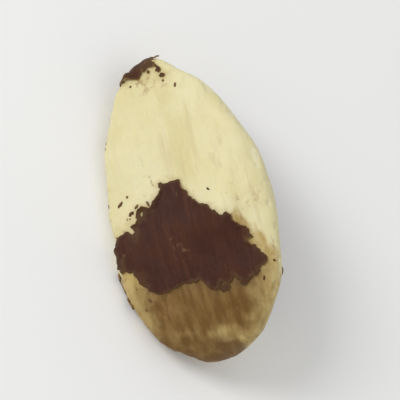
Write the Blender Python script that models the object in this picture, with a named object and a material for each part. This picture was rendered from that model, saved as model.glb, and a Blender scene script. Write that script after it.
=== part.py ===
"""A shelled Brazil nut, lying on a surface.

The kernel is one pale solid, three-sided like a segment of an orange. It lies on its flat under face. Its
broad front face looks up and forward, and its rounded back stands steeply behind. The under and front faces
meet in the nut's thin inner edge. Torn patches of the brown skin still cling to it, as a thin raised layer of
the same solid.

Metres, +Z up. +X runs along the nut to its blunt end, and -Y is the front. The origin is on the surface,
under the middle of the nut.
"""

import math

import bmesh
import bpy
import numpy as np
from mathutils import Vector, noise

# The size of the whole nut.
LENGTH = 0.0360
WIDTH = 0.0185
HEIGHT = 0.0147

# The nut is flat where it rests, to this depth.
FLAT_SPOT_DEPTH = 0.0004

# The section before it is fitted to the size: the under face's distance from the nut's axis.
UNDER_DEPTH = 0.4 * HEIGHT
# Its three faces: the way each one looks, in degrees from +Y towards +Z, and how far it stands from the axis,
# as a share of the under face's distance.
FACES = {"under": (-90, 1.0), "front": (136, 1.0), "back": (15, 1.07)}
# How flat the faces and how narrow the edges between them are, at the tips and in the body. 2 would be round.
TIP_SHARPNESS = 2.1
BODY_SHARPNESS = 3.5
# The tips are the part of the nut thinner than this share of its middle.
TIP_SHARE = 0.75

# How full the body is beside an ellipsoid, at the pointed end, in the middle and at the blunt end.
FULLNESS = (0.76, 1.0, 1.22)
# The back bows out and the inner edge is nearly straight.
BOW = 0.07 * LENGTH
# How far the tips droop, as a share of the under face's distance there, which leaves the under face flatter.
DROOP = 0.32
TWIST = math.radians(9)

# Long shallow changes to the faces: the way each looks in degrees, its half width in degrees and its height.
# The first is a trough down the front face, and the second a swelling of the back.
LONG_FORMS = ((150, 22, -0.00052), (10, 32, 0.00057))
# Small rises and hollows all over: their size across and their height.
SWELLINGS = ((0.0114, 0.00040), (0.0046, 0.00015))
WAVES_IN_A_SWELLING = 9
WAVE_SPREAD = (0.6, 1.1)

# The skin's thickness on the nut.
SKIN_RISE = 0.00022
# The skin's torn edge: the size of its tears and how far they reach.
TEAR_SIZE = 0.0032
TEAR_DEPTH = 0.0013
TEAR_ROUGHNESS = 0.75
TEAR_OCTAVES = 5
TEAR_STEP = 2.2
# Round the nut, places are measured about this height, at this mean distance.
HEART_HEIGHT = 0.44 * HEIGHT
HEART_RADIUS = 0.0072

# The large torn patch on the front face: its outline, as places along the nut in shares of half its length,
# and round it in degrees from +Y towards +Z. It ends in a spike close to the upper edge of the nut.
FRONT_PATCH = (
    (-0.08, 146),
    (0.05, 108),
    (0.19, 87),
    (0.27, 84),
    (0.33, 75),
    (0.43, 72),
    (0.53, 71),
    (0.58, 78),
    (0.62, 86),
    (0.60, 111),
    (0.50, 152),
    (0.52, 196),
    (0.18, 208),
    (-0.16, 184),
)
# The other patches: the middle's place along and round the nut in the same measures, then half its length and
# half its width.
OTHER_PATCHES = (
    (0.46, 262, 0.0062, 0.0062),
    (-0.34, 266, 0.0080, 0.0050),
    (-0.30, 336, 0.0072, 0.0036),
    (0.44, 352, 0.0056, 0.0040),
    (-0.97, 190, 0.0016, 0.0120),
)

# The net of the surface: cells along the nut between its two ends, and across each side of an end.
CELLS_ALONG = 38
CELLS_ACROSS = 22
SAME_PLACE = 1e-6
# A cut at the skin's edge keeps at least this share of a cell on each side.
LEAST_CUT = 0.15

FLESH_COLOUR = (0.745, 0.680, 0.398, 1.0)
FLESH_ROUGHNESS = 0.5
SKIN_COLOUR = (0.071, 0.028, 0.024, 1.0)
SKIN_ROUGHNESS = 0.55


def clear_scene():
    """Removes what the scene already holds."""
    for old in list(bpy.data.objects):
        bpy.data.objects.remove(old, do_unlink=True)


def material(name, colour, roughness):
    """A plain Principled material."""
    made = bpy.data.materials.new(name)
    made.use_nodes = True
    shader = made.node_tree.nodes["Principled BSDF"]
    shader.inputs["Base Color"].default_value = colour
    shader.inputs["Roughness"].default_value = roughness
    shader.inputs["Metallic"].default_value = 0.0
    return made


def ball_net():
    """A cube whose sides are cut into cells, with more along X, blown up to a ball of radius 1."""
    net = bmesh.new()
    bmesh.ops.create_cube(net, size=2)

    def runs_along(edge):
        return abs(edge.verts[0].co.x - edge.verts[1].co.x) > SAME_PLACE

    lengthwise = [edge for edge in net.edges if runs_along(edge)]
    bmesh.ops.subdivide_edges(net, edges=lengthwise, cuts=CELLS_ALONG - 1)
    crosswise = [edge for edge in net.edges if not runs_along(edge)]
    bmesh.ops.subdivide_edges(net, edges=crosswise, cuts=CELLS_ACROSS - 1, use_grid_fill=True)
    for vertex in net.verts:
        # Even steps of angle keep the cells near one size.
        spread = Vector([math.tan(c * math.pi / 4) for c in vertex.co])
        vertex.co = spread.normalized()
    return net


def fullness(along):
    """How full the body is at a place along it, from -1 at the pointed end to 1 at the blunt end."""
    point, middle, blunt = FULLNESS
    lean = (blunt - point) / 2
    swell = (blunt + point) / 2 - middle
    return middle + lean * along + swell * along**2


def section_radius(angle, sharpness):
    """The section's radius at an angle: three flat faces, blended at their edges by a power mean."""
    total = 0.0
    for looks, distance in FACES.values():
        facing = np.maximum(np.cos(angle - math.radians(looks)), 0) / distance
        total = total + facing**sharpness
    return total ** (-1 / sharpness)


def turned_from(angle, looks):
    """The turn from a direction in degrees to an angle, between minus and plus half a circle."""
    return np.angle(np.exp(1j * (angle - math.radians(looks))))


def long_forms(angle, along):
    """The height of the long trough and swelling at an angle and a place along the nut."""
    height = 0.0
    for looks, half_width, highest in LONG_FORMS:
        share = turned_from(angle, looks) / math.radians(half_width)
        height = height + highest * np.exp(-(share**2))
    return height * (1 - along**2)


def waves(points, size, seed):
    """Soft rises and hollows of about one size across, between about -1 and 1."""
    random = np.random.default_rng(seed)
    total = np.zeros(len(points))
    for _ in range(WAVES_IN_A_SWELLING):
        way = random.normal(size=3)
        way /= np.linalg.norm(way)
        pace = 2 * math.pi / size * random.uniform(*WAVE_SPREAD)
        total += np.sin(points @ way * pace + random.uniform(0, 2 * math.pi))
    return total / math.sqrt(WAVES_IN_A_SWELLING)


def bare_form(ball):
    """The nut without its skin, for points of a ball of radius 1, before it is set on the surface."""
    along = ball[:, 0]
    around = np.hypot(ball[:, 1], ball[:, 2])
    angle = np.arctan2(ball[:, 2], ball[:, 1]) + TWIST * along
    sharpness = TIP_SHARPNESS + (BODY_SHARPNESS - TIP_SHARPNESS) * np.minimum(around / TIP_SHARE, 1)
    depth = UNDER_DEPTH * fullness(along) * around
    radius = depth * section_radius(angle, sharpness) + long_forms(angle, along) * around
    across = radius * np.cos(angle) + BOW * (1 - along**2)
    upward = radius * np.sin(angle) + DROOP * depth
    points = np.stack([LENGTH / 2 * along, across, upward], axis=1)
    for seed, (size, height) in enumerate(SWELLINGS):
        points += ball * (height * waves(points, size, seed))[:, None]
    return points


def set_down(points):
    """Brings the form to the nut's true size, over the origin. Its lowest part is just under the surface."""
    low, high = points.min(axis=0), points.max(axis=0)
    size = np.array([LENGTH, WIDTH, HEIGHT + FLAT_SPOT_DEPTH])
    middle = np.array([0, 0, size[2] / 2 - FLAT_SPOT_DEPTH])
    return (points - (low + high) / 2) * size / (high - low) + middle


def inside_outline(places, corners):
    """How far inside an outline each place of the unrolled surface is, below 0 where it is outside."""
    nearest = np.full(len(places), np.inf)
    crossings = np.zeros(len(places), int)
    for start, end in zip(corners, np.roll(corners, -1, axis=0)):
        run = end - start
        off = places - start
        share = np.clip(off @ run / (run @ run), 0, 1)
        nearest = np.minimum(nearest, np.linalg.norm(off - share[:, None] * run, axis=1))
        spans = (places[:, 1] < start[1]) != (places[:, 1] < end[1])
        crossing = start[0] + run[0] * (places[:, 1] - start[1]) / (run[1] or 1)
        crossings += spans & (places[:, 0] < crossing)
    return np.where(crossings % 2 == 1, nearest, -nearest)


def skin_cover(points):
    """How far inside the skin each point is, in metres, below 0 where the nut is bare."""
    angle = np.arctan2(points[:, 2] - HEART_HEIGHT, points[:, 1])
    round_place = (angle % (2 * math.pi)) * HEART_RADIUS
    places = np.stack([points[:, 0], round_place], axis=1)
    corners = np.array(FRONT_PATCH) * (LENGTH / 2, math.radians(1) * HEART_RADIUS)
    cover = inside_outline(places, corners)
    for along, looks, half_length, half_width in OTHER_PATCHES:
        off_along = (points[:, 0] - along * LENGTH / 2) / half_length
        off_round = turned_from(angle, looks) * HEART_RADIUS / half_width
        inside = (1 - np.hypot(off_along, off_round)) * min(half_length, half_width)
        cover = np.maximum(cover, inside)
    torn = [noise.fractal(Vector(p) / TEAR_SIZE, TEAR_ROUGHNESS, TEAR_STEP, TEAR_OCTAVES) for p in points]
    return cover + TEAR_DEPTH * np.array(torn)


def cut_at_skin_edge(net, cover):
    """Cuts the net's cells along the skin's edge, which then runs from cut to cut."""
    on_edge = []
    for edge in list(net.edges):
        start, end = edge.verts[0][cover], edge.verts[1][cover]
        if (start > 0) != (end > 0):
            share = min(max(start / (start - end), LEAST_CUT), 1 - LEAST_CUT)
            _, made = bmesh.utils.edge_split(edge, edge.verts[0], share)
            made[cover] = 0.0
            on_edge.append(made)
    bmesh.ops.connect_verts(net, verts=on_edge, check_degenerate=True)


def move_to(net, points):
    """Moves the net's vertices to new points, in their order."""
    for vertex, point in zip(net.verts, points):
        vertex.co = point


def build_nut():
    """The nut: its form, the skin raised on it, its flat spot, and the two colours."""
    net = ball_net()
    points = set_down(bare_form(np.array([vertex.co[:] for vertex in net.verts])))
    move_to(net, points)
    cover = net.verts.layers.float.new("cover")
    for vertex, depth in zip(net.verts, skin_cover(points)):
        vertex[cover] = depth
    cut_at_skin_edge(net, cover)
    net.normal_update()
    raised = [vertex.co + vertex.normal * SKIN_RISE * (vertex[cover] > 0) for vertex in net.verts]
    move_to(net, set_down(np.array(raised)))
    for vertex in net.verts:
        vertex.co.z = max(vertex.co.z, 0)
    bmesh.ops.recalc_face_normals(net, faces=net.faces)
    for face in net.faces:
        face.material_index = int(max(vertex[cover] for vertex in face.verts) > 0)
    mesh = bpy.data.meshes.new("nut")
    net.to_mesh(mesh)
    net.free()
    mesh.materials.append(material("pale flesh", FLESH_COLOUR, FLESH_ROUGHNESS))
    mesh.materials.append(material("brown skin", SKIN_COLOUR, SKIN_ROUGHNESS))
    mesh.shade_smooth()
    nut = bpy.data.objects.new("nut", mesh)
    group = bpy.data.collections.new("shelled brazil nut")
    bpy.context.scene.collection.children.link(group)
    group.objects.link(nut)


clear_scene()
build_nut()
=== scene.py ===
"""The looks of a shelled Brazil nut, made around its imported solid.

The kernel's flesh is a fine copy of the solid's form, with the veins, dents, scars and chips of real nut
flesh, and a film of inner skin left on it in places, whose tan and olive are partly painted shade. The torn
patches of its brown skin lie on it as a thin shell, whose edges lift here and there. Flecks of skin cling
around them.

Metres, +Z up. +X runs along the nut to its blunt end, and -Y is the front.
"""

import math

import bmesh
import bpy
import numpy as np
from mathutils import Matrix, Vector, noise


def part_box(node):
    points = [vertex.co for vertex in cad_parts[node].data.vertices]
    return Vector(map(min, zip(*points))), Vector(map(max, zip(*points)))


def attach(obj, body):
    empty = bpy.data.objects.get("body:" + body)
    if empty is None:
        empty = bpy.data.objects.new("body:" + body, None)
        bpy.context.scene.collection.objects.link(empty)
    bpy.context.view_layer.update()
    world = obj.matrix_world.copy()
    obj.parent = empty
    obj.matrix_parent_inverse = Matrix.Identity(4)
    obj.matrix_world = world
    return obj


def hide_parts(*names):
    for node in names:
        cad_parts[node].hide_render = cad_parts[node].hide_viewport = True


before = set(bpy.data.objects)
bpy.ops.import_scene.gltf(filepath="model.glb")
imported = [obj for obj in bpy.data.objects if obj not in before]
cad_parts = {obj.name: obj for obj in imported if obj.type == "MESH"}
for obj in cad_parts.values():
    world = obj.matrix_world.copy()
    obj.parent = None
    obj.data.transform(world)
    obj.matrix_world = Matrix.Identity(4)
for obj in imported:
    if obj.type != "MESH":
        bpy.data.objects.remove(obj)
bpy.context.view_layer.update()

# The size of the nut.
NUT_LOW, NUT_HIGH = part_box("nut")
LENGTH, WIDTH, HEIGHT = NUT_HIGH - NUT_LOW
NUT_MIDDLE = (NUT_LOW + NUT_HIGH) / 2

# The nut's form, in the solid's own measures: its flat spot, section, edges and ends.
FLAT_SPOT_DEPTH = 0.0004
UNDER_DEPTH = 0.4 * HEIGHT
FACES = {"under": (-90, 1.0), "front": (136, 1.0), "back": (15, 1.07)}
TIP_SHARPNESS = 2.1
BODY_SHARPNESS = 3.5
TIP_SHARE = 0.75
FULLNESS = (0.76, 1.0, 1.22)
BOW = 0.07 * LENGTH
DROOP = 0.32
TWIST = math.radians(9)
LONG_FORMS = ((150, 22, -0.00052), (10, 32, 0.00057))
SWELLINGS = ((0.0114, 0.00040), (0.0046, 0.00015))
WAVES_IN_A_SWELLING = 9
WAVE_SPREAD = (0.6, 1.1)

# The patches of skin, in the solid's own measures.
SKIN_RISE = 0.00022
TEAR_SIZE = 0.0032
TEAR_DEPTH = 0.0013
TEAR_ROUGHNESS = 0.75
TEAR_OCTAVES = 5
TEAR_STEP = 2.2
HEART_HEIGHT = 0.44 * HEIGHT
HEART_RADIUS = 0.0072
FRONT_PATCH = (
    (-0.08, 146),
    (0.05, 108),
    (0.19, 87),
    (0.27, 84),
    (0.33, 75),
    (0.43, 72),
    (0.53, 71),
    (0.58, 78),
    (0.62, 86),
    (0.60, 111),
    (0.50, 152),
    (0.52, 196),
    (0.18, 208),
    (-0.16, 184),
)
OTHER_PATCHES = (
    (0.46, 262, 0.0062, 0.0062),
    (-0.34, 266, 0.0080, 0.0050),
    (-0.30, 336, 0.0072, 0.0036),
    (0.44, 352, 0.0056, 0.0040),
    (-0.97, 190, 0.0016, 0.0120),
)

# Where a film of the inner skin is left on the flesh, its colour partly painted shade, in the same form as
# the
# patches: place along, degrees round, half length and half width. The tears of its edge are read this far
# from the skin's.
FILMS_AND_PAINTED_SHADE = (
    (0.60, 150, 0.0088, 0.0139),
    (0.98, 205, 0.0088, 0.0074),
    (-0.04, 268, 0.0052, 0.0050),
    (0.10, 340, 0.0050, 0.0036),
)
FILM_AND_SHADE_SHIFT = 0.05

# The fine net of the surface. A cut keeps at least this share of an edge from either end.
CELLS_ALONG = 150
CELLS_ACROSS = 88
SAME_PLACE = 1e-6
LEAST_CUT = 0.12
# Where the three edges between the faces run, and how wide the worn line on each is, in degrees.
EDGE_LINES = (75, 203, 322)
EDGE_LINE_WIDTH = 9

# The flecks of skin: how many different ones there are, how finely each is cut, how large its bulges are on a
# ball of radius 1, and how far it turns from the nut's length. Then come the ranges of its breadth, as a
# share of the fleck size, of its length, as a share of its breadth, and of how pale it is.
FLECK_SHAPES = 8
FLECK_ROUNDNESS = 3
FLECK_BULGE_SIZE = 0.8
FLECK_LEAN = math.radians(50)
FLECK_BREADTHS = (0.3, 1.0)
FLECK_LENGTHS = (1.0, 2.4)
FLECK_PALENESS = (0.0, 0.8)

# How many times longer than broad these marks are. All run along the nut.
VEIN_STRETCH = 7
SCAR_STRETCH = 2.5
WRINKLE_STRETCH = 5
CRUMB_STRETCH = 1.8
GRAIN_STRETCH = 7.0
PAINTED_VEIN_STRETCH = 9.0
FILM_AND_SHADE_STREAK_STRETCH = 5.0
FIBRE_STRETCH = 10.0

# The kinds of noise: how much detail each has, and how rough it is.
SMOOTH = (1.0, 0.5)
SOFT = (2.0, 0.5)
UNEVEN = (3.0, 0.55)
FRAYED = (3.0, 0.6)
RAGGED = (3.0, 0.65)
BLOTCHY = (4.0, 0.55)
GRAINY = (4.0, 0.6)
STREAK_ROUGHNESS = 0.55
# The grain's two noises, and the size of the waves in how far the stain by a tear reaches.
GRAIN_SEED = 5.0
PORE_SEED = 9.0
STAIN_WAVE = 0.0018

# The noise values at which each of these starts, and at which it is full.
SCARRED = (0.61, 0.70)
CHIPPED = (0.50, 0.56)
LIFTED = (0.50, 0.68)
CLUMPED = (0.50, 0.66)
# How fast the skin's curl rises towards its torn edge.
CURL_POWER = 2.0

# The flesh's relief. It is sunk a little into the solid's form, and where skin covers it, it is held above
# the floor by the skin's thickness.
FLESH_SIZES = {
    "Vein Height": 0.00014,
    "Vein Width": 0.0016,
    "Dent Height": 0.00028,
    "Dent Size": 0.0022,
    "Scar Depth": 0.00012,
    "Scar Size": 0.0030,
    "Chip Depth": 0.00014,
    "Chip Size": 0.0016,
    "Skin Thickness": 0.00012,
    "Sink": 0.00006,
    "Seed": 4,
}
# The torn skin. Scraps of less than the least area, in square metres, are left out.
SKIN_SIZES = {
    "Thickness": 0.00010,
    "Sink": 0.00004,
    "Curl Height": 0.00035,
    "Curl Reach": 0.0010,
    "Curl Spacing": 0.0022,
    "Wrinkle Height": 0.00020,
    "Wrinkle Width": 0.0008,
    "Least Area": 5e-8,
    "Seed": 9,
}
# The flecks. The density is the most of them on a square metre, right at a tear.
FLECK_SIZES = {
    "Reach": 0.0009,
    "Density": 2.2e6,
    "Clump Size": 0.0030,
    "Fleck Size": 0.00017,
    "Fleck Thickness": 0.000035,
    "Raggedness": 2.6,
    "Off Floor": 0.0006,
    "Seed": 5,
}

# The film of inner skin with painted shade in it: how far inside its edge it starts and is full, where it
# turns from tan to olive, a darkening that is partly painted shade, how far blotches and streaks shift these,
# how much lighter a streak is, the least of the olive in it, and how much thinner a streak is where the film
# is tan.
FILM_AND_SHADE_EDGE = (-0.0010, 0.0004)
FILM_AND_SHADE_DARKENING = (0.0008, 0.0054)
FILM_AND_SHADE_BLOTCH_SHIFT = -0.0013
FILM_AND_SHADE_STREAK_SHIFT = -0.0012
FILM_AND_SHADE_STREAK_TONE = -0.36
FILM_AND_SHADE_LEAST_TONE = 0.12
FILM_AND_SHADE_STREAK_THINNING = -0.35
# How far outside the skin's edge the rubbed crumbs on the flesh start, and are full.
CRUMBS_NEAR_SKIN = (-0.0040, -0.0004)

# How strongly each mark tints the flesh, and then the skin.
VEIN_TINT = 0.26
SMEAR_TINT = 0.14
SCAR_TINT = 0.30
EDGE_LINE_TINT = 0.35
CHIP_TINT = 0.60
STAIN_TINT = 0.35
CRUMB_TINT = 0.55
FIBRE_TINT = 0.60
BLOTCH_TINT = 0.45
TORN_EDGE_TINT = 0.75
WORN_SPOT_TINT = 0.20
LINING_TINT = 0.8
# The least roughness of each, and how much its blotches add.
FLESH_ROUGHNESS = 0.40
FLESH_ROUGHNESS_ADDED = 0.14
SKIN_ROUGHNESS = 0.46
SKIN_ROUGHNESS_ADDED = 0.18

# The picture: the way the camera looks at the nut, in degrees round it from +Y towards +Z, how far the camera
# leans to the blunt end, how far the nut leans to the left in the picture, and its share of the picture.
VIEW_ROUND = math.radians(120)
VIEW_TILT = math.radians(10)
PICTURE_LEAN = math.radians(15)
PICTURE_SHARE = 0.80
CAMERA_DISTANCE = 0.40
SENSOR_MM = 36
FLOOR_HALF_SIZE = 3.0
SURROUNDINGS_STRENGTH = 0.58

# Colours, in linear light.
CREAM = (0.700, 0.628, 0.330, 1)
LIGHT_CREAM = (0.750, 0.692, 0.425, 1)
CHIPPED_WHITE = (0.820, 0.770, 0.540, 1)
TAN = (0.500, 0.370, 0.170, 1)
# The film's olive and tan stand partly for painted shade. The tan also tints the real stain by the torn edge.
FILM_AND_SHADE_OLIVE = (0.148, 0.067, 0.003, 1)
STAIN_FILM_AND_SHADE_TAN = (0.475, 0.330, 0.098, 1)
CRUMB_BROWN = (0.300, 0.150, 0.042, 1)
PURPLE_BROWN = (0.047, 0.0115, 0.005, 1)
RED_BROWN = (0.084, 0.026, 0.010, 1)
SKIN_EDGE_BROWN = (0.095, 0.047, 0.016, 1)
SKIN_LINING = (0.360, 0.215, 0.085, 1)
FLOOR_WHITE = (0.94, 0.94, 0.93, 1)
WHITE = (1, 1, 1, 1)


def runs_along(edge):
    """Whether a cube's edge runs along X."""
    return abs(edge.verts[0].co.x - edge.verts[1].co.x) > SAME_PLACE


def ball_net():
    """A cube whose sides are cut into cells, with more along X, blown up to a ball of radius 1."""
    net = bmesh.new()
    bmesh.ops.create_cube(net, size=2)
    lengthwise = [edge for edge in net.edges if runs_along(edge)]
    bmesh.ops.subdivide_edges(net, edges=lengthwise, cuts=CELLS_ALONG - 1)
    crosswise = [edge for edge in net.edges if not runs_along(edge)]
    bmesh.ops.subdivide_edges(net, edges=crosswise, cuts=CELLS_ACROSS - 1, use_grid_fill=True)
    for vertex in net.verts:
        spread = Vector([math.tan(c * math.pi / 4) for c in vertex.co])
        vertex.co = spread.normalized()
    return net


def fullness(along):
    """How full the body is at a place along it, from -1 at the pointed end to 1 at the blunt end."""
    point, middle, blunt = FULLNESS
    lean = (blunt - point) / 2
    swell = (blunt + point) / 2 - middle
    return middle + lean * along + swell * along**2


def section_radius(angle, sharpness):
    """The section's radius at an angle: three flat faces, blended at their edges by a power mean."""
    total = 0.0
    for looks, distance in FACES.values():
        facing = np.maximum(np.cos(angle - math.radians(looks)), 0) / distance
        total = total + facing**sharpness
    return total ** (-1 / sharpness)


def turned_from(angle, looks):
    """The turn from a direction in degrees to an angle, between minus and plus half a circle."""
    return np.angle(np.exp(1j * (angle - math.radians(looks))))


def long_forms(angle, along):
    """The height of the long trough and swelling at an angle and a place along the nut."""
    height = 0.0
    for looks, half_width, highest in LONG_FORMS:
        share = turned_from(angle, looks) / math.radians(half_width)
        height = height + highest * np.exp(-(share**2))
    return height * (1 - along**2)


def waves(points, size, seed):
    """Soft rises and hollows of about one size across, between about -1 and 1."""
    random = np.random.default_rng(seed)
    total = np.zeros(len(points))
    for _ in range(WAVES_IN_A_SWELLING):
        way = random.normal(size=3)
        way /= np.linalg.norm(way)
        pace = 2 * math.pi / size * random.uniform(*WAVE_SPREAD)
        total += np.sin(points @ way * pace + random.uniform(0, 2 * math.pi))
    return total / math.sqrt(WAVES_IN_A_SWELLING)


def round_angle(ball):
    """The angle round the nut of each point of the ball, with the nut's slight twist."""
    return np.arctan2(ball[:, 2], ball[:, 1]) + TWIST * ball[:, 0]


def bare_form(ball):
    """The nut without its skin, for points of a ball of radius 1, before it is set on the surface."""
    along = ball[:, 0]
    around = np.hypot(ball[:, 1], ball[:, 2])
    angle = round_angle(ball)
    sharpness = TIP_SHARPNESS + (BODY_SHARPNESS - TIP_SHARPNESS) * np.minimum(around / TIP_SHARE, 1)
    depth = UNDER_DEPTH * fullness(along) * around
    radius = depth * section_radius(angle, sharpness) + long_forms(angle, along) * around
    across = radius * np.cos(angle) + BOW * (1 - along**2)
    upward = radius * np.sin(angle) + DROOP * depth
    points = np.stack([LENGTH / 2 * along, across, upward], axis=1)
    for seed, (size, height) in enumerate(SWELLINGS):
        points += ball * (height * waves(points, size, seed))[:, None]
    return points


def set_down(points, outer=None):
    """Fits the form to the nut's size and place, measured on an outer form where one is given."""
    measured = points if outer is None else outer
    low, high = measured.min(axis=0), measured.max(axis=0)
    size = np.array([LENGTH, WIDTH, HEIGHT + FLAT_SPOT_DEPTH])
    middle = np.array([0, 0, size[2] / 2 - FLAT_SPOT_DEPTH])
    return (points - (low + high) / 2) * size / (high - low) + middle


def inside_outline(places, corners):
    """How far inside an outline each place of the unrolled surface is, below 0 where it is outside."""
    nearest = np.full(len(places), np.inf)
    crossings = np.zeros(len(places), int)
    for start, end in zip(corners, np.roll(corners, -1, axis=0)):
        run = end - start
        off = places - start
        share = np.clip(off @ run / (run @ run), 0, 1)
        nearest = np.minimum(nearest, np.linalg.norm(off - share[:, None] * run, axis=1))
        spans = (places[:, 1] < start[1]) != (places[:, 1] < end[1])
        crossing = start[0] + run[0] * (places[:, 1] - start[1]) / (run[1] or 1)
        crossings += spans & (places[:, 0] < crossing)
    return np.where(crossings % 2 == 1, nearest, -nearest)


def heart_angle(points):
    """The angle of each point round the nut's heart, the line along its middle."""
    return np.arctan2(points[:, 2] - HEART_HEIGHT, points[:, 1])


def inside_rounded(points, patches, radius):
    """How far inside the nearest of some rounded patches each point is, in metres, below 0 where it is
    outside. Distances round the nut are taken at a radius."""
    nearest = np.full(len(points), -np.inf)
    for along, looks, half_length, half_width in patches:
        off_along = (points[:, 0] - along * LENGTH / 2) / half_length
        off_round = turned_from(heart_angle(points), looks) * radius / half_width
        inside = (1 - np.hypot(off_along, off_round)) * min(half_length, half_width)
        nearest = np.maximum(nearest, inside)
    return nearest


def torn_edge(points):
    """How far a torn edge wanders outwards at each point, in metres."""
    torn = [noise.fractal(Vector(p) / TEAR_SIZE, TEAR_ROUGHNESS, TEAR_STEP, TEAR_OCTAVES) for p in points]
    return TEAR_DEPTH * np.array(torn)


def skin_cover(points):
    """How far inside the skin each point is, in metres: above 0 is skin, and below 0 the nut is bare."""
    round_place = (heart_angle(points) % (2 * math.pi)) * HEART_RADIUS
    places = np.stack([points[:, 0], round_place], axis=1)
    corners = np.array(FRONT_PATCH) * (LENGTH / 2, math.radians(1) * HEART_RADIUS)
    inside_front = inside_outline(places, corners)
    inside_others = inside_rounded(points, OTHER_PATCHES, HEART_RADIUS)
    return np.maximum(inside_front, inside_others) + torn_edge(points)


def film_and_shade_cover(points):
    """How far inside the film of inner skin each point is, in metres. The film also carries painted shade."""
    radius = np.hypot(points[:, 1], points[:, 2] - HEART_HEIGHT)
    return inside_rounded(points, FILMS_AND_PAINTED_SHADE, radius) + torn_edge(points + FILM_AND_SHADE_SHIFT)


def edge_lines(ball):
    """How close each point is to one of the three edges between the faces, from 0 to 1."""
    angle = round_angle(ball)
    shares = [turned_from(angle, line) / math.radians(EDGE_LINE_WIDTH) for line in EDGE_LINES]
    return np.max([np.exp(-(share**2)) for share in shares], axis=0)


def cut_at_skin_edge(net, cover, others):
    """Cuts the net's cells along the skin's edge, which then runs from cut to cut. Other layers carry on over
    it."""
    on_edge = []
    for edge in list(net.edges):
        first, second = edge.verts
        start, end = first[cover], second[cover]
        if (start > 0) != (end > 0):
            share = min(max(start / (start - end), LEAST_CUT), 1 - LEAST_CUT)
            between = [first[layer] * (1 - share) + second[layer] * share for layer in others]
            _, made = bmesh.utils.edge_split(edge, first, share)
            made[cover] = 0.0
            for layer, value in zip(others, between):
                made[layer] = value
            on_edge.append(made)
    bmesh.ops.connect_verts(net, verts=on_edge, check_degenerate=True)


def form_mesh():
    """The nut's bare surface as a mesh. It stores how far inside the skin and the film each point is, the
    film carrying painted shade as well, and how close to an edge between the faces."""
    net = ball_net()
    ball = np.array([vertex.co[:] for vertex in net.verts])
    points = set_down(bare_form(ball))
    marks = {"cover": skin_cover(points), "film_and_shade": film_and_shade_cover(points), "edge_line": edge_lines(ball)}
    layers = [net.verts.layers.float.new(name) for name in marks]
    for vertex, point, *values in zip(net.verts, points, *marks.values()):
        vertex.co = point
        for layer, value in zip(layers, values):
            vertex[layer] = value
    cover = layers[0]
    cut_at_skin_edge(net, cover, layers[1:])
    net.normal_update()
    bare = np.array([vertex.co[:] for vertex in net.verts])
    skin_rise = [vertex.normal * SKIN_RISE * (vertex[cover] > 0) for vertex in net.verts]
    skinned = np.array([(vertex.co + rise)[:] for vertex, rise in zip(net.verts, skin_rise)])
    for vertex, point in zip(net.verts, set_down(bare, outer=skinned)):
        vertex.co = point
    bmesh.ops.recalc_face_normals(net, faces=net.faces)
    mesh = bpy.data.meshes.new("nut form")
    net.to_mesh(mesh)
    net.free()
    mesh.shade_smooth()
    return mesh


def give(tree, socket, value):
    """Sets a node's input to a value, or links it from another node's output."""
    if isinstance(value, bpy.types.NodeSocket):
        tree.links.new(value, socket)
    else:
        socket.default_value = value


def add(tree, kind, inputs=(), **settings):
    """A new node with these settings and inputs. The inputs are found by name or place."""
    made = tree.nodes.new(kind)
    for name, value in settings.items():
        setattr(made, name, value)
    for place, value in dict(inputs).items():
        give(tree, made.inputs[place], value)
    return made


def result_of(tree, node, inputs, output):
    """An output of a node whose sockets share their names. They are found by identifier."""
    for socket in node.inputs:
        if socket.identifier in inputs:
            give(tree, socket, inputs[socket.identifier])
    return next(socket for socket in node.outputs if socket.identifier == output)


def maths(tree, operation, *values):
    """The output of a Math node, held between 0 and 1 where the operation's name ends in CLAMPED."""
    clamped = operation.endswith(" CLAMPED")
    name = operation.removesuffix(" CLAMPED")
    return add(tree, "ShaderNodeMath", enumerate(values), operation=name, use_clamp=clamped).outputs[0]


def scaled(tree, vector, share):
    """A vector times a number."""
    return add(tree, "ShaderNodeVectorMath", {0: vector, "Scale": share}, operation="SCALE").outputs[0]


def stretched(tree, vector, stretch):
    """A place whose pattern is drawn out along the nut: its X is divided by the stretch."""
    x, y, z = add(tree, "ShaderNodeSeparateXYZ", {0: vector}).outputs
    inputs = {0: maths(tree, "DIVIDE", x, stretch), 1: y, 2: z}
    return add(tree, "ShaderNodeCombineXYZ", inputs).outputs[0]


def cloud(tree, vector, size, kind, seed):
    """Noise from 0 to 1 of a kind, with features of a size in metres."""
    detail, roughness = kind
    scale = maths(tree, "DIVIDE", 1.0, size)
    inputs = {"Vector": vector, "W": seed, "Scale": scale, "Detail": detail, "Roughness": roughness}
    return add(tree, "ShaderNodeTexNoise", inputs, noise_dimensions="4D").outputs[0]


def centred(tree, value):
    """A number from 0 to 1 as one from -0.5 to 0.5."""
    return maths(tree, "SUBTRACT", value, 0.5)


def ramp(tree, value, start, end):
    """A smooth rise from 0 to 1 as a value goes from start to end."""
    inputs = {"Value": value, "From Min": start, "From Max": end}
    return add(tree, "ShaderNodeMapRange", inputs, interpolation_type="SMOOTHSTEP").outputs[0]


def mixed(tree, share, first, second):
    """Two colours mixed by a share."""
    made = add(tree, "ShaderNodeMix", data_type="RGBA")
    inputs = {"Factor_Float": share, "A_Color": first, "B_Color": second}
    return result_of(tree, made, inputs, "Result_Color")


def tinted(tree, colour, mask, strength, tint):
    """A colour with a tint mixed in at a strength where a mask is 1."""
    return mixed(tree, maths(tree, "MULTIPLY", mask, strength), colour, tint)


def later_seed(tree, seed, steps):
    """Another seed, some steps on."""
    return maths(tree, "ADD", seed, steps)


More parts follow.
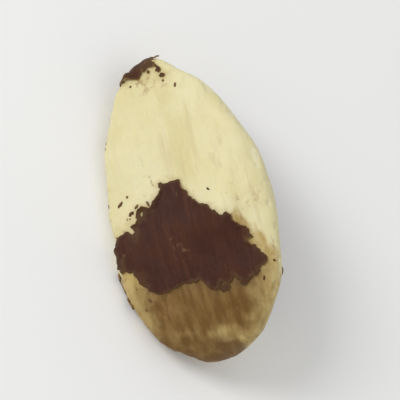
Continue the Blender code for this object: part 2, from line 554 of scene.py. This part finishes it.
def new_tree(kind, name, inputs, outputs):
    """A node tree with named sockets. Returns it, its given values and the sockets that take its results."""
    tree = bpy.data.node_groups.new(name, kind)
    for in_out, sockets in (("INPUT", inputs), ("OUTPUT", outputs)):
        for socket_name, socket_type in sockets.items():
            tree.interface.new_socket(name=socket_name, in_out=in_out, socket_type="NodeSocket" + socket_type)
    return tree, add(tree, "NodeGroupInput").outputs, add(tree, "NodeGroupOutput").inputs


def geometry_tree(name, sizes):
    """A Geometry Nodes tree that takes a mesh, its sizes and seed, and a material, and gives a mesh back."""
    inputs = {"Geometry": "Geometry", **dict.fromkeys(sizes, "Float"), "Material": "Material"}
    inputs["Seed"] = "Int"
    tree, given, result = new_tree("GeometryNodeTree", name, inputs, {"Geometry": "Geometry"})
    tree.is_modifier = True
    return tree, given, result["Geometry"]


def finish_tree(tree, geometry, material, result):
    """Ends a Geometry Nodes tree: real meshes, in one material."""
    real = add(tree, "GeometryNodeRealizeInstances", {"Geometry": geometry}).outputs[0]
    painted = add(tree, "GeometryNodeSetMaterial", {"Geometry": real, "Material": material}).outputs[0]
    tree.links.new(painted, result)


def attribute(tree, name):
    """A number stored on the mesh, for Geometry Nodes."""
    return add(tree, "GeometryNodeInputNamedAttribute", {"Name": name}, data_type="FLOAT").outputs[0]


def moved_out(tree, geometry, height):
    """A mesh moved out along its normals by a height."""
    normal = add(tree, "GeometryNodeInputNormal").outputs[0]
    inputs = {"Geometry": geometry, "Offset": scaled(tree, normal, height)}
    return add(tree, "GeometryNodeSetPosition", inputs).outputs[0]


def held_above(tree, geometry, height):
    """A mesh with no point lower than a height above the surface that it lies on."""
    place = add(tree, "GeometryNodeInputPosition").outputs[0]
    x, y, z = add(tree, "ShaderNodeSeparateXYZ", {0: place}).outputs
    inputs = {0: x, 1: y, 2: maths(tree, "MAXIMUM", z, height)}
    held = add(tree, "ShaderNodeCombineXYZ", inputs).outputs[0]
    return add(tree, "GeometryNodeSetPosition", {"Geometry": geometry, "Position": held}).outputs[0]


def stored(tree, geometry, name, value, domain):
    """A mesh with a number stored on it, which later trees and the materials read."""
    inputs = {"Geometry": geometry, "Name": name, "Value": value}
    return add(tree, "GeometryNodeStoreNamedAttribute", inputs, data_type="FLOAT", domain=domain).outputs[0]


def flesh_tree():
    """Puts the flesh's relief on the form: long veins, soft dents, sunken scars, and chipped edges."""
    tree, given, result = geometry_tree("flesh relief", FLESH_SIZES)
    place = add(tree, "GeometryNodeInputPosition").outputs[0]
    seed = given["Seed"]
    vein = cloud(tree, stretched(tree, place, VEIN_STRETCH), given["Vein Width"], SOFT, seed)
    dent = cloud(tree, place, given["Dent Size"], SOFT, later_seed(tree, seed, 10))
    scar_place = stretched(tree, place, SCAR_STRETCH)
    scar = cloud(tree, scar_place, given["Scar Size"], UNEVEN, later_seed(tree, seed, 20))
    scar = ramp(tree, scar, *SCARRED)
    chip = cloud(tree, place, given["Chip Size"], SOFT, later_seed(tree, seed, 30))
    chip = ramp(tree, maths(tree, "MULTIPLY", chip, attribute(tree, "edge_line")), *CHIPPED)
    height = maths(tree, "MULTIPLY", centred(tree, vein), given["Vein Height"])
    height = maths(tree, "MULTIPLY_ADD", centred(tree, dent), given["Dent Height"], height)
    height = maths(tree, "SUBTRACT", height, maths(tree, "MULTIPLY", scar, given["Scar Depth"]))
    height = maths(tree, "SUBTRACT", height, maths(tree, "MULTIPLY", chip, given["Chip Depth"]))
    shaped = moved_out(tree, given["Geometry"], maths(tree, "SUBTRACT", height, given["Sink"]))
    shaped = stored(tree, stored(tree, shaped, "scar", scar, "POINT"), "chip", chip, "POINT")
    under_skin = maths(tree, "GREATER_THAN", attribute(tree, "cover"), 0.0)
    lowest = maths(tree, "MULTIPLY", under_skin, given["Skin Thickness"])
    finish_tree(tree, held_above(tree, shaped, lowest), given["Material"], result)
    return tree


def without_scraps(tree, sheet, least_area):
    """A torn sheet without its scraps that are smaller than an area."""
    scrap = add(tree, "GeometryNodeInputMeshIsland").outputs["Island Index"]
    areas = {"Value": add(tree, "GeometryNodeInputMeshFaceArea").outputs[0], "Group ID": scrap}
    whole = add(tree, "GeometryNodeAccumulateField", areas, domain="FACE").outputs["Total"]
    inputs = {"Geometry": sheet, "Selection": maths(tree, "LESS_THAN", whole, least_area)}
    return add(tree, "GeometryNodeDeleteGeometry", inputs, domain="FACE").outputs[0]


def skin_lift(tree, given):
    """How far the skin stands off the flesh: it curls up in places along its torn edge, and is wrinkled."""
    place = add(tree, "GeometryNodeInputPosition").outputs[0]
    inside = ramp(tree, attribute(tree, "cover"), 0.0, given["Curl Reach"])
    near_edge = maths(tree, "SUBTRACT", 1.0, inside)
    lifting = ramp(tree, cloud(tree, place, given["Curl Spacing"], SMOOTH, given["Seed"]), *LIFTED)
    curl = maths(tree, "MULTIPLY", maths(tree, "POWER", near_edge, CURL_POWER), lifting)
    curl = maths(tree, "MULTIPLY", curl, given["Curl Height"])
    wrinkle_place = stretched(tree, place, WRINKLE_STRETCH)
    wrinkle_seed = later_seed(tree, given["Seed"], 10)
    wrinkle = cloud(tree, wrinkle_place, given["Wrinkle Width"], UNEVEN, wrinkle_seed)
    return maths(tree, "MULTIPLY_ADD", wrinkle, given["Wrinkle Height"], curl)


def walled(tree, lining, thickness):
    """A closed shell of a thickness on a sheet, whose under side and rim are marked as lining."""
    extruded = {"Mesh": lining, "Offset Scale": thickness, "Individual": False}
    outer = add(tree, "GeometryNodeExtrudeMesh", extruded, mode="FACES").outputs
    torn = stored(tree, outer["Mesh"], "lining", outer["Side"], "FACE")
    flipped = add(tree, "GeometryNodeFlipFaces", {"Mesh": lining}).outputs[0]
    under = stored(tree, flipped, "lining", 1.0, "FACE")
    joined = add(tree, "GeometryNodeJoinGeometry")
    for part in (under, torn):
        tree.links.new(part, joined.inputs[0])
    merged = {"Geometry": joined.outputs[0], "Distance": SAME_PLACE}
    return add(tree, "GeometryNodeMergeByDistance", merged).outputs[0]


def skin_tree():
    """Makes the torn skin from the flesh: a thin closed shell over the part that skin covers."""
    tree, given, result = geometry_tree("torn skin", SKIN_SIZES)
    bare = maths(tree, "LESS_THAN", attribute(tree, "cover"), 0.0)
    covered = {"Geometry": given["Geometry"], "Selection": bare}
    sheet = add(tree, "GeometryNodeDeleteGeometry", covered, domain="FACE").outputs[0]
    sheet = without_scraps(tree, sheet, given["Least Area"])
    height = maths(tree, "SUBTRACT", skin_lift(tree, given), given["Sink"])
    thickness = maths(tree, "ADD", given["Thickness"], given["Sink"])
    closed = walled(tree, moved_out(tree, sheet, height), thickness)
    finish_tree(tree, held_above(tree, closed, 0.0), given["Material"], result)
    return tree


def fleck_shapes(tree, place, raggedness):
    """A few differently ragged balls, which are flattened to flecks where they are placed."""
    sizes = {"Radius": 1.0, "Subdivisions": FLECK_ROUNDNESS}
    ball = add(tree, "GeometryNodeMeshIcoSphere", sizes).outputs[0]
    shapes = add(tree, "GeometryNodeJoinGeometry")
    for number in range(FLECK_SHAPES):
        uneven = cloud(tree, place, FLECK_BULGE_SIZE, RAGGED, float(number))
        ragged = moved_out(tree, ball, maths(tree, "MULTIPLY", centred(tree, uneven), raggedness))
        single = add(tree, "GeometryNodeGeometryToInstance", {0: ragged}).outputs[0]
        tree.links.new(single, shapes.inputs[0])
    return shapes.outputs[0]


def random_number(tree, lowest, highest, seed):
    """A different number for each fleck, between two numbers."""
    made = add(tree, "FunctionNodeRandomValue", {"Seed": seed}, data_type="FLOAT")
    return result_of(tree, made, {"Min_001": lowest, "Max_001": highest}, "Value_001")


def fleck_density(tree, given, place):
    """How many flecks there are on a square metre: most by a tear, in clumps, and none near the floor."""
    cover = attribute(tree, "cover")
    close = maths(tree, "EXPONENT", maths(tree, "DIVIDE", cover, given["Reach"]))
    on_bare = maths(tree, "LESS_THAN", cover, maths(tree, "MULTIPLY", given["Fleck Size"], -1.0))
    clump = ramp(tree, cloud(tree, place, given["Clump Size"], SOFT, given["Seed"]), *CLUMPED)
    height = add(tree, "ShaderNodeSeparateXYZ", {0: place}).outputs["Z"]
    off_floor = maths(tree, "GREATER_THAN", height, given["Off Floor"])
    density = close
    for share in (clump, on_bare, off_floor, given["Density"]):
        density = maths(tree, "MULTIPLY", density, share)
    return density


def fleck_tree():
    """Scatters small flecks of skin over the bare flesh, each of its own size, shape, turn and paleness."""
    tree, given, result = geometry_tree("skin flecks", FLECK_SIZES)
    seed = given["Seed"]
    place = add(tree, "GeometryNodeInputPosition").outputs[0]
    density = fleck_density(tree, given, place)
    scattered = {"Mesh": given["Geometry"], "Density": density, "Seed": seed}
    spots = add(tree, "GeometryNodeDistributePointsOnFaces", scattered).outputs
    breadth = random_number(tree, *FLECK_BREADTHS, seed)
    broad = maths(tree, "MULTIPLY", breadth, given["Fleck Size"])
    long = maths(tree, "MULTIPLY", broad, random_number(tree, *FLECK_LENGTHS, later_seed(tree, seed, 1)))
    size = add(tree, "ShaderNodeCombineXYZ", {0: long, 1: broad, 2: given["Fleck Thickness"]}).outputs[0]
    which = maths(tree, "FLOOR", random_number(tree, 0.0, FLECK_SHAPES, later_seed(tree, seed, 2)))
    lean = random_number(tree, -FLECK_LEAN, FLECK_LEAN, later_seed(tree, seed, 4))
    turn = add(tree, "FunctionNodeAxisAngleToRotation", {"Axis": (0, 0, 1), "Angle": lean}).outputs[0]
    turned = {"Rotation": spots["Rotation"], "Rotate By": turn}
    placing = {
        "Points": spots["Points"],
        "Instance": fleck_shapes(tree, place, given["Raggedness"]),
        "Pick Instance": True,
        "Instance Index": which,
        "Rotation": add(tree, "FunctionNodeRotateRotation", turned, rotation_space="LOCAL").outputs[0],
        "Scale": size,
    }
    flecks = add(tree, "GeometryNodeInstanceOnPoints", placing).outputs[0]
    paleness = random_number(tree, *FLECK_PALENESS, later_seed(tree, seed, 3))
    flecks = stored(tree, flecks, "lining", paleness, "INSTANCE")
    finish_tree(tree, flecks, given["Material"], result)
    return tree


def grown(tree, mesh, name, material, values):
    """A new piece: the result of a Geometry Nodes tree on a mesh, as a plain mesh."""
    piece = bpy.data.objects.new(name, mesh)
    bpy.context.scene.collection.objects.link(piece)
    modifier = piece.modifiers.new(tree.name, "NODES")
    modifier.node_group = tree
    values = {**values, "Material": material}
    for socket in tree.interface.items_tree:
        if socket.in_out == "INPUT" and socket.name in values:
            modifier[socket.identifier] = values[socket.name]
    evaluated = piece.evaluated_get(bpy.context.evaluated_depsgraph_get())
    made = bpy.data.meshes.new_from_object(evaluated)
    piece.modifiers.remove(modifier)
    piece.data = made
    made.name = name
    made.shade_smooth()
    return piece


def object_place(tree):
    """The place on the object, in metres."""
    return add(tree, "ShaderNodeTexCoord").outputs["Object"]


def mark(tree, name):
    """A number stored on the mesh, for a material."""
    return add(tree, "ShaderNodeAttribute", attribute_name=name).outputs["Fac"]


def shader_group(name, inputs, output, output_type):
    """A shader group that takes numbers with these names, and has one output."""
    return new_tree("ShaderNodeTree", name, dict.fromkeys(inputs, "Float"), {output: output_type})


def streaks_group():
    """Streaks along the nut, from 0 to 1: the veins of the flesh, of its film and the fibres of the skin."""
    inputs = ("Width", "Stretch", "Detail", "Start", "End", "Seed")
    tree, given, result = shader_group("lengthwise streaks", inputs, "Mask", "Float")
    place = stretched(tree, object_place(tree), given["Stretch"])
    kind = (given["Detail"], STREAK_ROUGHNESS)
    value = cloud(tree, place, given["Width"], kind, given["Seed"])
    tree.links.new(ramp(tree, value, given["Start"], given["End"]), result["Mask"])
    return tree


def blotches_group():
    """Soft uneven patches of tone, from 0 to 1."""
    inputs = ("Size", "Start", "End", "Seed")
    tree, given, result = shader_group("blotches", inputs, "Mask", "Float")
    value = cloud(tree, object_place(tree), given["Size"], BLOTCHY, given["Seed"])
    tree.links.new(ramp(tree, value, given["Start"], given["End"]), result["Mask"])
    return tree


def crumbs_group():
    """Small ragged crumbs of tone, from 0 to 1, where skin was rubbed off or is worn through."""
    inputs = ("Size", "Clump Size", "Start", "End", "Seed")
    tree, given, result = shader_group("crumbs", inputs, "Mask", "Float")
    place = object_place(tree)
    crumb_place = stretched(tree, place, CRUMB_STRETCH)
    crumb = cloud(tree, crumb_place, given["Size"], RAGGED, given["Seed"])
    clump = cloud(tree, place, given["Clump Size"], SOFT, later_seed(tree, given["Seed"], 0.5))
    value = maths(tree, "MULTIPLY", maths(tree, "ADD", crumb, clump), 0.5)
    tree.links.new(ramp(tree, value, given["Start"], given["End"]), result["Mask"])
    return tree


def nearness_group():
    """How near a place is to the skin's torn edge, from 0 to 1, with an uneven reach."""
    inputs = ("Reach", "Unevenness", "Seed")
    tree, given, result = shader_group("nearness to the torn edge", inputs, "Mask", "Float")
    uneven = cloud(tree, object_place(tree), STAIN_WAVE, FRAYED, given["Seed"])
    shift = maths(tree, "MULTIPLY", centred(tree, uneven), given["Unevenness"])
    distance = maths(tree, "ADD", maths(tree, "ABSOLUTE", mark(tree, "cover")), shift)
    farness = ramp(tree, distance, 0.0, given["Reach"])
    tree.links.new(maths(tree, "SUBTRACT", 1.0, farness), result["Mask"])
    return tree


def grain_group():
    """The fine grain of a grown surface, as a normal: streaks along the nut and small pores."""
    inputs = ("Streak Width", "Pore Size", "Streak Height", "Pore Height")
    tree, given, result = shader_group("fine grain", inputs, "Normal", "Vector")
    place = object_place(tree)
    streak_place = stretched(tree, place, GRAIN_STRETCH)
    streak = cloud(tree, streak_place, given["Streak Width"], GRAINY, GRAIN_SEED)
    pore = cloud(tree, place, given["Pore Size"], RAGGED, PORE_SEED)
    height = maths(tree, "MULTIPLY", streak, given["Streak Height"])
    height = maths(tree, "MULTIPLY_ADD", pore, given["Pore Height"], height)
    bump = add(tree, "ShaderNodeBump", {"Height": height, "Strength": 1.0, "Distance": 1.0})
    tree.links.new(bump.outputs[0], result["Normal"])
    return tree


def placed(tree, group, **values):
    """A shader group placed in a material. The names of its values have an underscore for each space."""
    inputs = {name.replace("_", " "): value for name, value in values.items()}
    return add(tree, "ShaderNodeGroup", inputs, node_tree=group).outputs[0]


def new_material(name, **constants):
    """A Principled material with its constant values set. Returns it, its tree and its shader."""
    made = bpy.data.materials.new(name)
    made.use_nodes = True
    shader = made.node_tree.nodes["Principled BSDF"]
    for socket, value in constants.items():
        shader.inputs[socket.replace("_", " ")].default_value = value
    return made, made.node_tree, shader


def film_and_painted_shade(tree, groups, smear):
    """Where the film of inner skin covers the flesh, from 0 to 1, and its colour: tan at its edge and olive
    brown further in, with streaks along the nut. Its tan and olive are partly painted shade."""
    streaks = placed(
        tree,
        groups["streaks"],
        Width=0.0010,
        Stretch=FILM_AND_SHADE_STREAK_STRETCH,
        Detail=5.0,
        Start=0.28,
        End=0.72,
        Seed=6.0,
    )
    inside = mark(tree, "film_and_shade")
    uneven = maths(tree, "MULTIPLY_ADD", smear, FILM_AND_SHADE_BLOTCH_SHIFT, inside)
    # Deeper in, the film darkens to olive, partly as painted shade.
    depth = ramp(tree, uneven, *FILM_AND_SHADE_DARKENING)
    tone = maths(tree, "MULTIPLY_ADD", streaks, FILM_AND_SHADE_STREAK_TONE, depth)
    colour = mixed(tree, maths(tree, "ADD CLAMPED", tone, FILM_AND_SHADE_LEAST_TONE), STAIN_FILM_AND_SHADE_TAN, FILM_AND_SHADE_OLIVE)
    thin_streaks = maths(tree, "MULTIPLY", streaks, maths(tree, "SUBTRACT", 1.0, depth))
    share = maths(tree, "MULTIPLY_ADD", thin_streaks, FILM_AND_SHADE_STREAK_THINNING, 1.0)
    reach = maths(tree, "MULTIPLY_ADD", streaks, FILM_AND_SHADE_STREAK_SHIFT, inside)
    return maths(tree, "MULTIPLY", share, ramp(tree, reach, *FILM_AND_SHADE_EDGE)), colour


def flesh_material(groups):
    """Ivory flesh: waxy and slightly see-through, with mottling, faint veins, crumbs, stains and film, the
    film partly painted shade.
    """
    made, tree, shader = new_material(
        "nut_flesh",
        Subsurface_Weight=0.35,
        Subsurface_Radius=(1.0, 0.75, 0.4),
        Subsurface_Scale=0.0012,
        IOR=1.46,
    )
    mottle = placed(tree, groups["blotches"], Size=0.0065, Start=0.38, End=0.66, Seed=1.0)
    veins = placed(
        tree,
        groups["streaks"],
        Width=0.0011,
        Stretch=PAINTED_VEIN_STRETCH,
        Detail=3.0,
        Start=0.52,
        End=0.74,
        Seed=2.0,
    )
    smear = placed(tree, groups["blotches"], Size=0.0028, Start=0.52, End=0.74, Seed=5.0)
    crumbs = placed(tree, groups["crumbs"], Size=0.0006, Clump_Size=0.0030, Start=0.56, End=0.61, Seed=3.0)
    crumbs = maths(tree, "MULTIPLY", crumbs, ramp(tree, mark(tree, "cover"), *CRUMBS_NEAR_SKIN))
    stain = placed(tree, groups["nearness"], Reach=0.0010, Unevenness=0.0014, Seed=4.0)
    film_and_shade, film_and_shade_colour = film_and_painted_shade(tree, groups, smear)
    colour = mixed(tree, mottle, CREAM, LIGHT_CREAM)
    colour = tinted(tree, colour, veins, VEIN_TINT, TAN)
    colour = tinted(tree, colour, smear, SMEAR_TINT, TAN)
    colour = tinted(tree, colour, mark(tree, "scar"), SCAR_TINT, TAN)
    colour = tinted(tree, colour, mark(tree, "edge_line"), EDGE_LINE_TINT, LIGHT_CREAM)
    colour = tinted(tree, colour, mark(tree, "chip"), CHIP_TINT, CHIPPED_WHITE)
    colour = tinted(tree, colour, stain, STAIN_TINT, STAIN_FILM_AND_SHADE_TAN)
    # The film's colour goes on here: inner skin, partly painted shade.
    colour = mixed(tree, film_and_shade, colour, film_and_shade_colour)
    colour = tinted(tree, colour, crumbs, CRUMB_TINT, CRUMB_BROWN)
    tree.links.new(colour, shader.inputs["Base Color"])
    roughness = maths(tree, "MULTIPLY_ADD", mottle, FLESH_ROUGHNESS_ADDED, FLESH_ROUGHNESS)
    tree.links.new(roughness, shader.inputs["Roughness"])
    normal = placed(
        tree,
        groups["grain"],
        Streak_Width=0.0005,
        Pore_Size=0.00028,
        Streak_Height=0.00006,
        Pore_Height=0.00004,
    )
    tree.links.new(normal, shader.inputs["Normal"])
    return made


def skin_material(groups):
    """Dark purple-brown skin: fibres along the nut, redder blotches, a lighter torn edge and a tan lining."""
    made, tree, shader = new_material("nut_skin", IOR=1.45, Specular_IOR_Level=0.22)
    fibres = placed(
        tree,
        groups["streaks"],
        Width=0.0006,
        Stretch=FIBRE_STRETCH,
        Detail=4.0,
        Start=0.45,
        End=0.70,
        Seed=11.0,
    )
    blotch = placed(tree, groups["blotches"], Size=0.0030, Start=0.42, End=0.72, Seed=12.0)
    worn = placed(tree, groups["crumbs"], Size=0.0005, Clump_Size=0.0030, Start=0.60, End=0.64, Seed=13.0)
    near_edge = placed(tree, groups["nearness"], Reach=0.0007, Unevenness=0.0008, Seed=14.0)
    colour = tinted(tree, PURPLE_BROWN, fibres, FIBRE_TINT, RED_BROWN)
    colour = tinted(tree, colour, blotch, BLOTCH_TINT, RED_BROWN)
    colour = tinted(tree, colour, near_edge, TORN_EDGE_TINT, SKIN_EDGE_BROWN)
    colour = tinted(tree, colour, worn, WORN_SPOT_TINT, SKIN_LINING)
    colour = tinted(tree, colour, mark(tree, "lining"), LINING_TINT, SKIN_LINING)
    tree.links.new(colour, shader.inputs["Base Color"])
    roughness = maths(tree, "MULTIPLY_ADD", blotch, SKIN_ROUGHNESS_ADDED, SKIN_ROUGHNESS)
    tree.links.new(roughness, shader.inputs["Roughness"])
    normal = placed(
        tree,
        groups["grain"],
        Streak_Width=0.00035,
        Pore_Size=0.0002,
        Streak_Height=0.00016,
        Pore_Height=0.00006,
    )
    tree.links.new(normal, shader.inputs["Normal"])
    return made


def floor_material():
    """Plain matt white."""
    constants = {"Base_Color": FLOOR_WHITE, "Roughness": 0.9, "Specular_IOR_Level": 0.2}
    return new_material("pale_floor", **constants)[0]


def picture_axes():
    """The picture's right and up, and the way back to the camera."""
    tilt, turn = VIEW_TILT, VIEW_ROUND
    back = Vector((math.sin(tilt), math.cos(tilt) * math.cos(turn), math.cos(tilt) * math.sin(turn)))
    to_point = Vector((-1, 0, 0))
    nut_up = (to_point - back * back.dot(to_point)).normalized()
    nut_right = nut_up.cross(back)
    up = nut_up * math.cos(PICTURE_LEAN) + nut_right * math.sin(PICTURE_LEAN)
    return up.cross(back), up, back


def make_camera():
    """Looks down on the nut's broad front face, with its pointed end up."""
    right, up, back = picture_axes()
    camera = bpy.data.objects.new("camera", bpy.data.cameras.new("camera"))
    camera.data.sensor_width = SENSOR_MM
    camera.data.lens = SENSOR_MM * CAMERA_DISTANCE * PICTURE_SHARE / LENGTH
    turn = Matrix((right, up, back)).transposed().to_4x4()
    camera.matrix_world = Matrix.Translation(NUT_MIDDLE + back * CAMERA_DISTANCE) @ turn
    bpy.context.scene.collection.objects.link(camera)
    bpy.context.scene.camera = camera


def soft_light(name, across, upward, backward, size, power):
    """A square soft light, placed in the picture's own directions and aimed at the nut."""
    right, up, back = picture_axes()
    light = bpy.data.objects.new(name, bpy.data.lights.new(name, "AREA"))
    light.data.size = size
    light.data.energy = power
    light.location = NUT_MIDDLE + right * across + up * upward + back * backward
    light.rotation_mode = "QUATERNION"
    light.rotation_quaternion = (NUT_MIDDLE - light.location).to_track_quat("-Z", "Y")
    light.visible_camera = False
    bpy.context.scene.collection.objects.link(light)


def make_floor():
    """A broad flat floor under the nut."""
    floor_mesh = bpy.data.meshes.new("floor")
    net = bmesh.new()
    bmesh.ops.create_grid(net, x_segments=1, y_segments=1, size=FLOOR_HALF_SIZE)
    net.to_mesh(floor_mesh)
    net.free()
    floor_mesh.materials.append(floor_material())
    floor = bpy.data.objects.new("floor", floor_mesh)
    bpy.context.scene.collection.objects.link(floor)


def make_light():
    """Two soft lights in white surroundings."""
    soft_light("key", across=-0.22, upward=0.26, backward=0.40, size=0.20, power=1.25)
    soft_light("fill", across=0.36, upward=-0.06, backward=0.40, size=0.40, power=0.15)
    world = bpy.data.worlds.new("surroundings")
    world.use_nodes = True
    background = world.node_tree.nodes["Background"]
    background.inputs["Color"].default_value = WHITE
    background.inputs["Strength"].default_value = SURROUNDINGS_STRENGTH
    bpy.context.scene.world = world
    bpy.context.scene.view_settings.view_transform = "Standard"


def make_nut():
    """The flesh, the torn skin on it, and the flecks of skin round the tears."""
    groups = {
        "streaks": streaks_group(),
        "blotches": blotches_group(),
        "crumbs": crumbs_group(),
        "nearness": nearness_group(),
        "grain": grain_group(),
    }
    skin_paint = skin_material(groups)
    flesh = grown(flesh_tree(), form_mesh(), "nut_flesh", flesh_material(groups), FLESH_SIZES)
    skin = grown(skin_tree(), flesh.data, "nut_skin", skin_paint, SKIN_SIZES)
    flecks = grown(fleck_tree(), flesh.data, "skin_flecks", skin_paint, FLECK_SIZES)
    for piece, slot in ((flesh, "flesh"), (skin, "skin"), (flecks, "skin")):
        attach(piece, "root")
        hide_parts("nut")


make_camera()
make_nut()
make_floor()
make_light()
